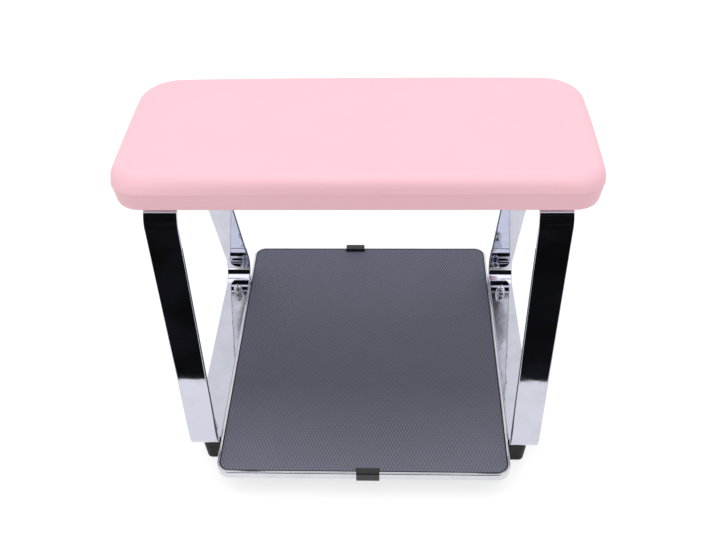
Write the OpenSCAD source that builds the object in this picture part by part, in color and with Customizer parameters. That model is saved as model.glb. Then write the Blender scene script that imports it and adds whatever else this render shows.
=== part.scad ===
// Pedicure footrest: a padded foot bar on two side frames bent from flat bar, with a trimmed deck for a foot bath.
// The origin is on the floor, under the middle of the deck. The client's side is +Y and the front legs face -Y.

/* [Side frames] */
// Width over both side frames
frame_w = 370; // [340:1:420]
// Height of a side frame, from the underside of its base to the top of its head
frame_h = 327; // [280:1:380]
// Length of a side frame's base, to the sharp corner of the rear bend
base_d = 305.5; // [290:0.5:340]
// Lean of the rear leg from upright, in degrees
rear_lean = 23.8; // [14:0.1:26]
// Width of the flat bar
bar_w = 30; // [24:1:36]
// Thickness of the flat bar
bar_t = 5; // [4:0.5:6]
// Radius of the flat bar's rounded edges
bar_edge_r = 1.5; // [0.5:0.1:1.9]
// Inner radius of the bends
bar_bend_r = 20; // [12:1:26]

/* [Deck] */
// Depth of the deck, from its front edge to its rear edge
deck_d = 374; // [350:1:420]
// How far the deck reaches in front of the front legs
deck_reach = 34; // [15:0.5:45]
// Clearance between the deck and each side frame
deck_gap = 0.5; // [0.3:0.1:2]
// Corner radius of the deck
deck_corner_r = 15; // [10:0.5:30]
// Thickness of the deck's core panel
panel_t = 7.1; // [5:0.1:12]
// Thickness of the mat
mat_t = 1.2; // [0.8:0.1:3]
// Groove between the mat and the lip of the edge trim
mat_groove = 1.7; // [0.8:0.1:4]

/* [Edge trim] */
// Wall of the edge trim
trim_t = 1.2; // [0.8:0.1:1.6]
// Reach of the trim's upper lip over the panel
lip_top = 2.3; // [2:0.1:5]
// Reach of the trim's lower lip under the panel
lip_under = 6; // [4:0.5:9]
// Outer edge radius of the trim
trim_edge_r = 1; // [0.4:0.1:1.1]
// Gap between the ends of the two trims, under a clip
trim_joint = 1; // [0.5:0.1:3]
// Place of the front joint, to the right of the middle
front_joint_x = 5.3; // [-60:0.1:60]
// Place of the rear joint, to the right of the middle
rear_joint_x = -19.1; // [-60:0.1:60]
// Length of a joint clip along the trim
clip_w = 24.3; // [16:0.1:36]
// Wall of a joint clip
clip_t = 1.4; // [1:0.1:2]
// Reach of a joint clip over the mat, from the trim's outer face
clip_reach = 6.8; // [5:0.1:12]
// Rounded edge of a joint clip
clip_edge_r = 0.9; // [0.3:0.1:1]

/* [Feet] */
// Length of a foot across the footrest
foot_l = 60; // [54:1:72]
// Width of a foot along the footrest
foot_w = 35; // [26:1:36]
// Height of a foot, up to the side frame
foot_h = 30; // [24:1:40]
// Radius of a foot's upright corners
foot_r = 6; // [3:0.5:8]
// Draft of a foot's walls, in degrees
foot_draft = 4; // [2:0.5:7]
// Wall of a foot
foot_wall = 3; // [2.5:0.1:3.5]
// Roof of a foot
foot_roof = 4; // [3:0.5:6]
// Edge radius round the sole of a foot
foot_sole_r = 1.5; // [1:0.1:2]
// How far a foot ends inside the outer edge of the side frame
foot_set = 8; // [5:0.5:12]
// How far the front feet stand behind the face of the front legs
foot_back = 14; // [14:0.5:40]
// Distance between the front and the rear feet
foot_pitch = 221.5; // [180:0.5:226]
// Thickness of the ribs inside a foot
rib_t = 2; // [1.5:0.1:3]
// Wall of the bosses inside a foot
boss_wall = 3; // [2:0.1:4]
// Depth of the bosses below the roof
boss_drop = 4; // [2:0.5:8]

/* [Foot pad] */
// Width of the foot pad
pad_w = 416; // [390:1:460]
// Depth of the foot pad
pad_d = 177; // [165:1:200]
// Thickness of the foot pad at its shoulder
pad_h = 32.5; // [30:0.5:50]
// Rise of the pad's crown above its shoulder
pad_crown = 1.5; // [0.5:0.1:6]
// Radius of the pad's front corners in plan
pad_front_r = 25; // [20:1:50]
// Radius of the pad's rear corners in plan
pad_rear_r = 35; // [20:1:50]
// How far the pad sits in front of the middle of the frames' heads
pad_forward = 1.2; // [0:0.1:6]
// Height of the lower band, up to the crease
band_h = 18.5; // [14:0.5:19]
// How far the lower band draws in at its bottom
band_tuck = 1.4; // [0.5:0.1:4]
// Radius under the lower band
under_r = 5; // [2:0.5:7]
// Depth of the crease
crease_depth = 1.2; // [0.4:0.1:2.5]
// Height of the crease
crease_w = 2.6; // [1:0.1:4]
// Radius of the pad's shoulder
shoulder_r = 7.5; // [5:0.5:9]
// Thickness of the cover
cover_t = 1; // [0.8:0.1:2]
// Thickness of the pad's board
board_t = 9; // [6:0.5:12]
// How far the board ends inside the pad's outline
board_set = 9; // [8:0.5:14]
// Width of the cover's hem under the board
hem_w = 20; // [14:0.5:24]
// Thickness of the cloth under the pad
cloth_t = 0.6; // [0.4:0.1:1]
// How far the cloth ends inside the board's outline
cloth_set = 5; // [3:0.5:8]
// How far the staples lie inside the board's outline
staple_set = 11; // [9:0.5:13]

/* [Fasteners] */
// Diameter of the bolts
bolt_d = 6; // [5:0.5:6]
// Clearance of a bolt in its hole, on the diameter
bolt_play = 0.4; // [0.2:0.1:1]
// How far the foot bolts lie inside the outer edge of a side frame
foot_bolt_set = 17.5; // [16:0.5:19]
// Distance between the two pad bolts of one frame
pad_bolt_pitch = 76; // [50:1:84]
// Diameter of a washer
washer_d = 12; // [11:0.5:13]
// Thickness of a washer
washer_t = 1.2; // [0.8:0.1:1.6]
// Width across the flats of a dome nut
nut_af = 10; // [9:0.5:11]
// Height of a dome nut
nut_h = 12; // [10:0.5:14]
// Height of a dome nut's hexagon
nut_hex_h = 5; // [4:0.5:6]
// Diameter of a bolt's head
head_d = 10.5; // [9:0.5:11.5]
// Height of a bolt's head
head_h = 3.3; // [2.5:0.1:4]
// Width across the flats of the socket in a bolt's head
socket_af = 4; // [3:0.5:5]
// Diameter of a deck screw
screw_d = 4.2; // [3.5:0.1:5]
// Diameter of a deck screw's head
screw_head_d = 8; // [7:0.5:9]
// Height of a deck screw's head
screw_head_h = 2.6; // [2:0.1:3.5]
// How deep a deck screw bites into the panel
screw_bite = 5; // [3:0.5:5]
// Distance between the two deck screws of one foot
screw_pitch = 15; // [14:0.5:18]
// Diameter of a tee nut's flange
tee_flange_d = 19; // [16:0.5:22]
// Thickness of a tee nut's flange
tee_flange_t = 1.5; // [1:0.1:2]
// Diameter of a tee nut's barrel
tee_barrel_d = 7.7; // [7.5:0.1:9]
// Length of a staple's crown
staple_l = 10; // [6:0.5:12]
// Length of a staple's legs
staple_leg = 6; // [5:0.5:6]
// Thickness of a staple's wire
staple_wire = 0.9; // [0.6:0.1:1.2]

/* [Hidden] */
// Overrun of a cut past the face it opens
over = 1;
// Clearance of the seat on a foot from the trim's lip
seat_play = 0.3;
// Clearance of the mat round a clip
clip_play = 0.3;
// Clearance of a thread in its nut, on the radius
thread_play = 0.05;
bend_out = bar_bend_r + bar_t;
rear_turn = 90 + rear_lean;
head_turn = 90 - rear_lean;
frame_head_d = base_d - frame_h * tan(rear_lean);
deck_w = frame_w - 2 * bar_w - 2 * deck_gap;
trim_h = panel_t + 2 * trim_t;
deck_top = foot_h + trim_h;
leg_y = deck_reach - deck_d / 2;
foot_x = frame_w / 2 - foot_set - foot_l / 2;
foot_bolt_x = frame_w / 2 - foot_bolt_set;
front_foot_y = leg_y + foot_back + foot_w / 2;
rear_foot_y = front_foot_y + foot_pitch;
bolt_hole_d = bolt_d + bolt_play;
head_flat = frame_head_d - bend_out - bend_out * tan(head_turn / 2);
pad_bolt_y = leg_y + bend_out + head_flat / 2;
pad_y = leg_y + frame_head_d / 2 - pad_forward;
pad_z = foot_h + frame_h;
board_w = pad_w - 2 * board_set;
board_d = pad_d - 2 * board_set;
// The pad bolts pass through the middle of what a frame's head and the pad's board share
pad_bolt_x = (frame_w / 2 - bar_w + min(frame_w, board_w) / 2) / 2;
front_r = pad_front_r - board_set;
rear_r = pad_rear_r - board_set;
hem_z = pad_z + cloth_t;
board_z = hem_z + cover_t;
boss_d = screw_head_d + 2 * boss_wall;
screw_hole_d = screw_d + bolt_play;
bend_steps = 12;
edge_steps = 3;
plate_steps = 12;
corner_steps = 5;
crown_steps = 4;
// Shares of the half depth at which the crown's rings lie, and of the crown's rise that they reach
crown_in_shares = [0.17, 0.3, 0.46, 0.66];
crown_up_shares = [0.3, 0.62, 0.88, 1];
staples_long = 8;
staples_short = 3;

// Points of an arc from angle a0 to angle a1
function arc(x, y, r, a0, a1, n) =
    [for (i = [0 : n]) let (a = a0 + (a1 - a0) * i / n) [x + r * cos(a), y + r * sin(a)]];

// A flat plate with round corners, centred in plan; its rear corners may have their own radius
module plate(w, d, t, r, rear = 0) {
    back = rear > 0 ? rear : r;
    linear_extrude(t)
        polygon(concat(
            arc(w / 2 - back, d / 2 - back, back, 0, 90, plate_steps),
            arc(back - w / 2, d / 2 - back, back, 90, 180, plate_steps),
            arc(r - w / 2, r - d / 2, r, 180, 270, plate_steps),
            arc(w / 2 - r, r - d / 2, r, 270, 360, plate_steps)
        ));
}

// A plate that follows the outline of the pad's board, drawn in by inset
module board_plate(inset, t) {
    plate(board_w - 2 * inset, board_d - 2 * inset, t, max(front_r - inset, over), max(rear_r - inset, over));
}

module on_both_sides() {
    children();
    mirror([1, 0, 0])
        children();
}

// The plan places of the four foot bolts, and of the four pad bolts
module at_foot_bolts() {
    for (sx = [-1, 1])
        for (y = [front_foot_y, rear_foot_y])
            translate([sx * foot_bolt_x, y, 0])
                children();
}

module at_pad_bolts() {
    for (sx = [-1, 1])
        for (sy = [-1, 1])
            translate([sx * pad_bolt_x, pad_bolt_y + sy * pad_bolt_pitch / 2, 0])
                children();
}

// The flat bar's section, as [across its width, out from the bend's inner face]
function bar_section() = concat(
    arc(bar_w - bar_edge_r, bar_t - bar_edge_r, bar_edge_r, 0, 90, edge_steps),
    arc(bar_edge_r, bar_t - bar_edge_r, bar_edge_r, 90, 180, edge_steps),
    arc(bar_edge_r, bar_edge_r, bar_edge_r, 180, 270, edge_steps),
    arc(bar_w - bar_edge_r, bar_edge_r, bar_edge_r, 270, 360, edge_steps)
);

// A side frame's outline seen from +X, with bends of radius r about the four centres that all its lines share
function frame_loop(r) = concat(
    arc(bend_out, bend_out, r, 180, 270, bend_steps),
    arc(base_d - bend_out * tan(rear_turn / 2), bend_out, r, 270, 270 + rear_turn, bend_steps),
    arc(frame_head_d - bend_out * tan(head_turn / 2), frame_h - bend_out, r, rear_lean, 90, bend_steps),
    arc(bend_out, frame_h - bend_out, r, 90, 180, bend_steps)
);

// The bar's section carried round the loop: base, leaning rear leg, head and upright front leg
module frame_bar() {
    section = bar_section();
    m = len(section);
    n = 4 * (bend_steps + 1);
    points = [for (p = section) for (q = frame_loop(bar_bend_r + p[1])) [p[0], q[0], q[1]]];
    faces = [for (j = [0 : m - 1]) for (i = [0 : n - 1])
        let (a = j * n + i, b = j * n + (i + 1) % n, c = (j + 1) % m * n + i, d = (j + 1) % m * n + (i + 1) % n)
            each [[a, b, c], [b, d, c]]];
    translate([-frame_w / 2, leg_y, foot_h])
        polyhedron(points, faces);
}

module side_frame() {
    difference() {
        frame_bar();
        at_foot_bolts()
            translate([0, 0, foot_h - over])
                cylinder(h = bar_t + 2 * over, d = bolt_hole_d, $fn = 48);
        at_pad_bolts()
            translate([0, 0, pad_z - bar_t - over])
                cylinder(h = bar_t + 2 * over, d = bolt_hole_d, $fn = 48);
    }
}

module side_frame_left() {
    color("silver")
        side_frame();
}

module side_frame_right() {
    color("silver")
        mirror([1, 0, 0])
            side_frame();
}

// The drafted outer form of a foot, drawn in by inset on every side, from z = low to z = high
module foot_form(inset, low, high) {
    lean = tan(foot_draft);
    corner = max(foot_r - inset, foot_sole_r);
    levels = [[low, foot_sole_r * (inset > 0 ? 0 : 1)], [low + foot_sole_r, 0], [high, 0]];
    hull()
        for (level = levels)
            for (sx = [-1, 1])
                for (sy = [-1, 1])
                    let (in = inset + level[1] + (foot_h - level[0]) * lean)
                        translate([sx * (foot_l / 2 - in - corner), sy * (foot_w / 2 - in - corner), level[0]])
                            cylinder(h = foot_sole_r / 100, r = corner, $fn = 32);
}

// A hollow moulded foot about its own middle, its outer end towards +X
module foot() {
    bolt_at = foot_bolt_x - foot_x;
    screws_at = [for (s = [0, 1]) screws_from() + s * screw_pitch];
    seat_end = deck_w / 2 - lip_under - seat_play - foot_x;
    roof_z = foot_h - foot_roof;
    difference() {
        union() {
            difference() {
                foot_form(0, 0, foot_h);
                foot_form(foot_wall, -foot_sole_r - over, roof_z);
            }
            intersection() {
                foot_form(foot_wall / 2, foot_sole_r, foot_h - foot_roof / 2);
                foot_inside(bolt_at, screws_at, roof_z);
            }
            foot_seat(seat_end);
        }
        translate([bolt_at, 0, 0])
            cylinder(h = foot_h + over, d = bolt_hole_d, $fn = 48);
        for (x = screws_at)
            translate([x, 0, 0])
                cylinder(h = foot_h + trim_t + over, d = screw_hole_d, $fn = 32);
    }
}

function screws_from() = boss_d / 2 + foot_wall - foot_l / 2;

// Ribs across the foot and bosses under its roof
module foot_inside(bolt_at, screws_at, roof_z) {
    rib_low = foot_h / 4;
    for (x = [(screws_at[0] + screws_at[1]) / 2, (screws_at[1] + bolt_at) / 2])
        translate([x - rib_t / 2, -foot_w / 2, rib_low])
            cube([rib_t, foot_w, roof_z - rib_low + foot_roof / 4]);
    for (x = screws_at)
        translate([x, 0, roof_z - boss_drop])
            cylinder(h = boss_drop + foot_roof / 4, d = boss_d, $fn = 48);
    translate([bolt_at, 0, roof_z - boss_drop / 2])
        cylinder(h = boss_drop / 2 + foot_roof / 4, d = washer_d + boss_wall, $fn = 48);
}

// The raised seat that fills the height of the trim's lower lip and carries the panel
module foot_seat(seat_end) {
    translate([-foot_l / 2, -foot_w / 2 + foot_r, foot_h - foot_roof / 4])
        cube([seat_end + foot_l / 2, foot_w - 2 * foot_r, foot_roof / 4 + trim_t]);
}

module foot_front_right() {
    color("dimgray")
        translate([foot_x, front_foot_y, 0])
            foot();
}

module foot_front_left() {
    mirror([1, 0, 0])
        foot_front_right();
}

module foot_rear_right() {
    color("dimgray")
        translate([foot_x, rear_foot_y, 0])
            foot();
}

module foot_rear_left() {
    mirror([1, 0, 0])
        foot_rear_right();
}

// A round-headed bolt with a hexagon socket, head down, the underside of its head at z = 0
module bolt(length) {
    cylinder(h = length, d = bolt_d, $fn = 48);
    difference() {
        rotate_extrude($fn = 64)
            polygon(concat(
                [[0, 0], [head_d / 2, 0]],
                [for (i = [0 : 6]) [
                    (head_d - head_h) / 2 + head_h / 2 * cos(15 * i),
                    -head_h * 0.25 - head_h * 0.75 * sin(15 * i)
                ]],
                [[0, -head_h]]
            ));
        translate([0, 0, -head_h - over])
            cylinder(h = head_h * 0.6 + over, d = socket_af / cos(30), $fn = 6);
    }
}

module washer() {
    difference() {
        cylinder(h = washer_t, d = washer_d, $fn = 64);
        translate([0, 0, -over])
            cylinder(h = washer_t + 2 * over, d = bolt_hole_d, $fn = 48);
    }
}

// A dome nut standing on z = 0: a chamfered hexagon, a dome and a blind thread
module dome_nut() {
    corner_d = nut_af / cos(30);
    neck_r = nut_af * 0.475;
    bore_h = nut_h * 0.75;
    difference() {
        union() {
            intersection() {
                cylinder(h = nut_hex_h, d = corner_d, $fn = 6);
                rotate_extrude($fn = 64)
                    polygon([
                        [0, 0], [nut_af / 2, 0], [corner_d / 2, (corner_d - nut_af) / 4],
                        [corner_d / 2, nut_hex_h - (corner_d - nut_af) / 4], [nut_af / 2, nut_hex_h], [0, nut_hex_h]
                    ]);
            }
            translate([0, 0, nut_hex_h])
                cylinder(h = nut_h - nut_hex_h - neck_r, r = neck_r, $fn = 64);
            translate([0, 0, nut_h - neck_r])
                rotate_extrude($fn = 64)
                    polygon(concat([[0, 0]], arc(0, 0, neck_r, 0, 90, 12)));
        }
        translate([0, 0, -over])
            cylinder(h = bore_h + over, d = bolt_d + 2 * thread_play, $fn = 48);
    }
}

module foot_bolts() {
    under = foot_h - foot_roof - boss_drop / 2 - washer_t;
    color("gray")
        at_foot_bolts()
            translate([0, 0, under])
                bolt(foot_h - under + bar_t + washer_t + nut_h / 2);
}

module foot_bolt_washers() {
    color("gray")
        at_foot_bolts()
            translate([0, 0, foot_h - foot_roof - boss_drop / 2 - washer_t])
                washer();
}

module frame_washers() {
    color("silver")
        at_foot_bolts()
            translate([0, 0, foot_h + bar_t])
                washer();
}

module dome_nuts() {
    color("silver")
        at_foot_bolts()
            translate([0, 0, foot_h + bar_t + washer_t])
                dome_nut();
}

// The places of the eight deck screws, under the feet's bosses
module at_deck_screws() {
    on_both_sides()
        for (y = [front_foot_y, rear_foot_y])
            for (s = [0, 1])
                translate([foot_x + screws_from() + s * screw_pitch, y, 0])
                    children();
}

module deck_screws() {
    under = foot_h - foot_roof - boss_drop;
    grip = foot_h + trim_t - under;
    color("gray")
        at_deck_screws()
            translate([0, 0, under]) {
                cylinder(h = grip + screw_bite - screw_d / 2, d = screw_d, $fn = 32);
                translate([0, 0, grip + screw_bite - screw_d / 2])
                    cylinder(h = screw_d / 2, d1 = screw_d, d2 = screw_d / 8, $fn = 32);
                translate([0, 0, -screw_head_h])
                    rotate_extrude($fn = 48)
                        polygon([
                            [0, 0], [screw_head_d * 0.32, 0], [screw_head_d / 2, screw_head_h * 0.4],
                            [screw_head_d / 2, screw_head_h], [0, screw_head_h]
                        ]);
            }
}

module deck_panel() {
    panel_w = deck_w - 2 * trim_t;
    panel_d = deck_d - 2 * trim_t;
    color("darkslategray")
        difference() {
            translate([0, 0, foot_h + trim_t])
                plate(panel_w, panel_d, panel_t, deck_corner_r - trim_t);
            at_deck_screws()
                translate([0, 0, foot_h])
                    cylinder(h = trim_t + screw_bite, d = screw_d, $fn = 32);
        }
}

module deck_mat() {
    set = lip_top + mat_groove;
    color("slategray")
        difference() {
            translate([0, 0, deck_top - trim_t])
                plate(deck_w - 2 * set, deck_d - 2 * set, mat_t, deck_corner_r - set);
            at_front_joint()
                clip_notch();
            at_rear_joint()
                clip_notch();
        }
}

// The plan places of the two trim joints, each seen as on the deck's front edge
module at_front_joint() {
    translate([front_joint_x, 0, 0])
        children();
}

module at_rear_joint() {
    translate([rear_joint_x, 0, 0])
        rotate([0, 0, 180])
            children();
}

// The room that the mat leaves for a clip's toe
module clip_notch() {
    translate([-clip_w / 2 - clip_play, -deck_d / 2, deck_top - trim_t - over])
        cube([clip_w + 2 * clip_play, clip_reach + clip_play, mat_t + 2 * over]);
}

// The section of the edge trim: x runs inwards from its outer face and y runs up
module trim_section() {
    r = trim_edge_r;
    polygon(concat(
        arc(r, r, r, 180, 270, 4),
        [
            [lip_under, 0], [lip_under, trim_t], [trim_t, trim_t],
            [trim_t, trim_h - trim_t], [lip_top, trim_h - trim_t], [lip_top, trim_h]
        ],
        arc(r, trim_h - r, r, 90, 180, 4)
    ));
}

module trim_run(length) {
    rotate([90, 0, 90])
        linear_extrude(length)
            trim_section();
}

module trim_corner() {
    translate([0, deck_corner_r, 0])
        rotate([0, 0, -90])
            rotate_extrude(angle = 90, $fn = 96)
                translate([deck_corner_r, 0])
                    mirror([1, 0])
                        trim_section();
}

// Trim bent along a path that turns left at each corner of the deck
module bent_trim(runs, i = 0) {
    trim_run(runs[i]);
    if (i + 1 < len(runs))
        translate([runs[i], 0, 0]) {
            trim_corner();
            translate([deck_corner_r, deck_corner_r, 0])
                rotate([0, 0, 90])
                    bent_trim(runs, i + 1);
        }
}

// Half of the deck's edge, from the joint at start on its front edge round +X to the joint at finish
module half_trim(start, finish) {
    corner_x = deck_w / 2 - deck_corner_r;
    translate([start, -deck_d / 2, foot_h])
        bent_trim([corner_x - start, deck_d - 2 * deck_corner_r, corner_x - finish]);
}

module edge_trim_right() {
    color("silver")
        half_trim(front_joint_x + trim_joint / 2, rear_joint_x + trim_joint / 2);
}

module edge_trim_left() {
    color("silver")
        rotate([0, 0, 180])
            half_trim(trim_joint / 2 - rear_joint_x, trim_joint / 2 - front_joint_x);
}

// A clip snapped over a trim joint on the deck's front edge, its toe hooked behind the trim's lip
module clip() {
    r = clip_edge_r;
    low = -clip_t;
    high = trim_h + clip_t;
    translate([-clip_w / 2, -deck_d / 2, foot_h])
        rotate([90, 0, 90])
            linear_extrude(clip_w)
                polygon(concat(
                    arc(r - clip_t, low + r, r, 180, 270, 4),
                    [[lip_under, low], [lip_under, 0], [0, 0], [0, trim_h], [lip_top, trim_h]],
                    [[lip_top, trim_h - trim_t], [clip_reach, trim_h - trim_t]],
                    arc(clip_reach - r, high - r, r, 0, 90, 4),
                    arc(r - clip_t, high - r, r, 90, 180, 4)
                ));
}

module clip_front() {
    color("black")
        at_front_joint()
            clip();
}

module clip_rear() {
    color("black")
        at_rear_joint()
            clip();
}

// The pad's side in section, as [how far inside the outline, height] from the hem up to the shoulder
function pad_side() = concat(
    [for (a = [0, 30, 60, 90]) [band_tuck + under_r * (1 - sin(a)), under_r * (1 - cos(a))]],
    [
        [band_tuck * 0.45, (under_r + band_h) * 0.47],
        [band_tuck * 0.25, band_h - crease_w],
        [crease_depth * 0.4, band_h - crease_w * 0.4],
        [crease_depth, band_h],
        [crease_depth * 0.35, band_h + crease_w * 0.4],
        [0, band_h + crease_w]
    ],
    [for (a = [0, 22, 44, 66, 84]) [shoulder_r * (1 - cos(a)), pad_h - shoulder_r * (1 - sin(a))]]
);

// The crown's rings, from the shoulder in to the flat middle
function pad_top() =
    [for (i = [0 : crown_steps - 1]) [pad_d / 2 * crown_in_shares[i], pad_h + pad_crown * crown_up_shares[i]]];

// One level ring of the pad, a rounded rectangle that lies inside the outline by inset
function pad_ring(inset, z) =
    [for (q = [0 : 3])
        let (
            r = max((q < 2 ? pad_rear_r : pad_front_r) - inset, under_r),
            x = (q == 0 || q == 3 ? 1 : -1) * (pad_w / 2 - inset - r),
            y = (q < 2 ? 1 : -1) * (pad_d / 2 - inset - r)
        )
            for (p = arc(x, y, r, 90 * q, 90 * q + 90, corner_steps)) [p[0], p[1], z]];

// The cushion as one closed skin, drawn in by skin on every side
module cushion(skin) {
    rings = concat(pad_side(), pad_top());
    n = 4 * (corner_steps + 1);
    last = (len(rings) - 1) * n;
    low = skin * (1 - 2 * skin / pad_h);
    points = [for (ring = rings) for (p = pad_ring(ring[0] + skin, low + ring[1] * (1 - 2 * skin / pad_h))) p];
    faces = concat(
        [[for (i = [0 : n - 1]) i]],
        [for (k = [0 : len(rings) - 2]) for (i = [0 : n - 1])
            let (a = k * n + i, b = k * n + (i + 1) % n) each [[a, a + n, b], [b, a + n, b + n]]],
        [[for (i = [n - 1 : -1 : 0]) last + i]]
    );
    translate([0, pad_y, hem_z])
        polyhedron(points, faces);
}

// The places of the staples round the hem, each along its edge
module at_staples() {
    x = board_w / 2 - staple_set;
    y = board_d / 2 - staple_set;
    reach_x = frame_w / 2 - bar_w - staple_l;
    reach_y = y - pad_rear_r / 2;
    for (sy = [-1, 1])
        for (i = [0 : staples_long - 1])
            translate([reach_x * (2 * i / (staples_long - 1) - 1), pad_y + sy * y, pad_z])
                children();
    for (sx = [-1, 1])
        for (i = [0 : staples_short - 1])
            translate([sx * x, pad_y + reach_y * (2 * i / (staples_short - 1) - 1), pad_z])
                rotate([0, 0, 90])
                    children();
}

module staple_legs() {
    for (sx = [-1, 1])
        translate([sx * (staple_l - staple_wire) / 2 - staple_wire / 2, -staple_wire / 2, 0])
            cube([staple_wire, staple_wire, staple_leg]);
}

// A staple driven flush with the cloth; below lengthens its crown downwards for a cut
module staple(below = 0) {
    staple_legs();
    translate([-staple_l / 2, -staple_wire / 2, -below])
        cube([staple_l, staple_wire, staple_wire + below]);
}

module cover_staples() {
    color("gray")
        at_staples()
            staple();
}

module pad_cover() {
    color("pink")
        difference() {
            cushion(0);
            cushion(cover_t);
            translate([0, pad_y, hem_z - over])
                board_plate(hem_w, cover_t + 2 * over);
            at_pad_bolts()
                translate([0, 0, hem_z - over])
                    cylinder(h = cover_t + 2 * over, d = bolt_hole_d, $fn = 48);
            at_staples()
                staple(over);
        }
}

module pad_foam() {
    color("lightyellow")
        difference() {
            cushion(cover_t);
            translate([0, pad_y, board_z - over])
                board_plate(0, board_t + over);
            at_pad_bolts()
                translate([0, 0, board_z + board_t - over])
                    cylinder(h = tee_flange_t + over, d = tee_flange_d, $fn = 64);
        }
}

module pad_board() {
    color("burlywood")
        difference() {
            translate([0, pad_y, board_z])
                board_plate(0, board_t);
            at_pad_bolts()
                translate([0, 0, board_z - over])
                    cylinder(h = board_t + 2 * over, d = tee_barrel_d, $fn = 48);
            at_staples()
                staple_legs();
        }
}

module pad_underside_cloth() {
    color("black")
        difference() {
            translate([0, pad_y, pad_z])
                board_plate(cloth_set, cloth_t);
            at_pad_bolts()
                translate([0, 0, pad_z - over])
                    cylinder(h = cloth_t + 2 * over, d = bolt_hole_d, $fn = 48);
            at_staples()
                staple(over);
        }
}

module tee_nuts() {
    color("gray")
        at_pad_bolts()
            translate([0, 0, board_z + cover_t])
                difference() {
                    union() {
                        cylinder(h = board_t - cover_t, d = tee_barrel_d, $fn = 48);
                        translate([0, 0, board_t - cover_t])
                            cylinder(h = tee_flange_t, d = tee_flange_d, $fn = 64);
                    }
                    translate([0, 0, -over])
                        cylinder(h = board_t + tee_flange_t + over, d = bolt_d + 2 * thread_play, $fn = 48);
                }
}

module pad_bolts() {
    color("gray")
        at_pad_bolts()
            translate([0, 0, pad_z - bar_t - washer_t])
                bolt(board_z + board_t - pad_z + bar_t + washer_t);
}

module pad_washers() {
    color("gray")
        at_pad_bolts()
            translate([0, 0, pad_z - bar_t - washer_t])
                washer();
}

side_frame_left();
side_frame_right();
foot_front_left();
foot_front_right();
foot_rear_left();
foot_rear_right();
foot_bolts();
foot_bolt_washers();
frame_washers();
dome_nuts();
deck_screws();
deck_panel();
deck_mat();
edge_trim_left();
edge_trim_right();
clip_front();
clip_rear();
pad_cover();
pad_foam();
pad_board();
pad_underside_cloth();
cover_staples();
tee_nuts();
pad_bolts();
pad_washers();
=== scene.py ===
import math

import bmesh
import bpy
import numpy as np
from mathutils import Matrix, Vector
from mathutils.kdtree import KDTree

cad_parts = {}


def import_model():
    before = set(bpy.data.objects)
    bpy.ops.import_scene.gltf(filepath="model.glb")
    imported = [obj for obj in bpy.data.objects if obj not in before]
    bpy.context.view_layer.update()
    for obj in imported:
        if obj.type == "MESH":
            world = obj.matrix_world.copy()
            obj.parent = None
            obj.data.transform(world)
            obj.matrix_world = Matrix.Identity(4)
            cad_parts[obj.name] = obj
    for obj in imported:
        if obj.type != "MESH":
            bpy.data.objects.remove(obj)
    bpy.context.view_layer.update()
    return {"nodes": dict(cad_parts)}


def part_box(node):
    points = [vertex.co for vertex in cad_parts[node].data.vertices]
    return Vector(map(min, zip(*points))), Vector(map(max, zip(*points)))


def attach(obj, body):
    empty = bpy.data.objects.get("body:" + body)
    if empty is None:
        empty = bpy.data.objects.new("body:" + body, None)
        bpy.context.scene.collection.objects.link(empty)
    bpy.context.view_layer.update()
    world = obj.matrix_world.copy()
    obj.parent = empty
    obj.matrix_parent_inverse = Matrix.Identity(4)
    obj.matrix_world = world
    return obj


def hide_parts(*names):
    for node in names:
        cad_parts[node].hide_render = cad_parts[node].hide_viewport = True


MM = 0.001
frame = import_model()


def span(name):
    """Lowest corner, highest corner and size of a node of the frame."""
    low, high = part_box(name)
    return low, high, high - low


def middle(name):
    low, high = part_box(name)
    return (low + high) / 2


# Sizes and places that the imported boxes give, in metres
bar_low, bar_high, bar_size = span("side_frame_right")
_, deck_high, deck_size = span("edge_trim_right")
pad_low, pad_high, pad_size = span("pad_cover")
mat_low, mat_high, _ = span("deck_mat")
nut_low, _, nut_size = span("dome_nuts")
washer_low, washer_high, _ = span("frame_washers")

FRAME_W = 2 * bar_high.x
FRAME_H = bar_size.z
BAR_W = bar_size.x
LEG_Y = bar_low.y
BASE_Z = bar_low.z
DECK_W = 2 * deck_high.x
DECK_D = 2 * deck_high.y
TRIM_H = deck_size.z
FRONT_BOLT_Y = middle("foot_front_right").y
REAR_BOLT_Y = middle("foot_rear_right").y
BOLT_X = washer_high.x - (FRONT_BOLT_Y - washer_low.y)
PAD_W = pad_size.x
PAD_D = pad_size.y
PAD_Y = (pad_low.y + pad_high.y) / 2
PAD_Z = pad_low.z

# The side frames' bar
BAR_T = 5 * MM
BAR_EDGE_R = 1.5 * MM
BEND_R = 20 * MM
REAR_LEAN = math.radians(23.8)
BEND_OUT = BEND_R + BAR_T
REAR_TURN = math.pi / 2 + REAR_LEAN
HEAD_TURN = math.pi / 2 - REAR_LEAN
BASE_D = bar_size.y - BEND_OUT + BEND_OUT * math.tan(REAR_TURN / 2)
HEAD_D = BASE_D - FRAME_H * math.tan(REAR_LEAN)
BEND_STEPS = 36

# The deck's trim, mat and clips
TRIM_T = 1.2 * MM
TRIM_EDGE_R = 1.4 * MM
LIP_TOP = 2.6 * MM
LIP_UNDER = 6 * MM
DECK_CORNER_R = 15 * MM
MAT_GROOVE = 1.4 * MM
MAT_EDGE_R = 0.3 * MM
CLIP_T = 1.4 * MM
CLIP_REACH = 7.3 * MM
REAR_CLIP_T = 4.5 * MM
REAR_CLIP_REACH = 8.5 * MM
CLIP_PLAY = 0.3 * MM
CLIP_CORNER_R = 1.6 * MM
CLIP_EDGE_R = 0.5 * MM
GRAIN_PITCH = 3.5 * MM
GRAIN_ROW = 4.03 * MM

# The domed nuts
NUT_AF = 10 * MM
NUT_HEX_H = 5 * MM
NUT_EDGE_R = 0.25 * MM
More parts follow.
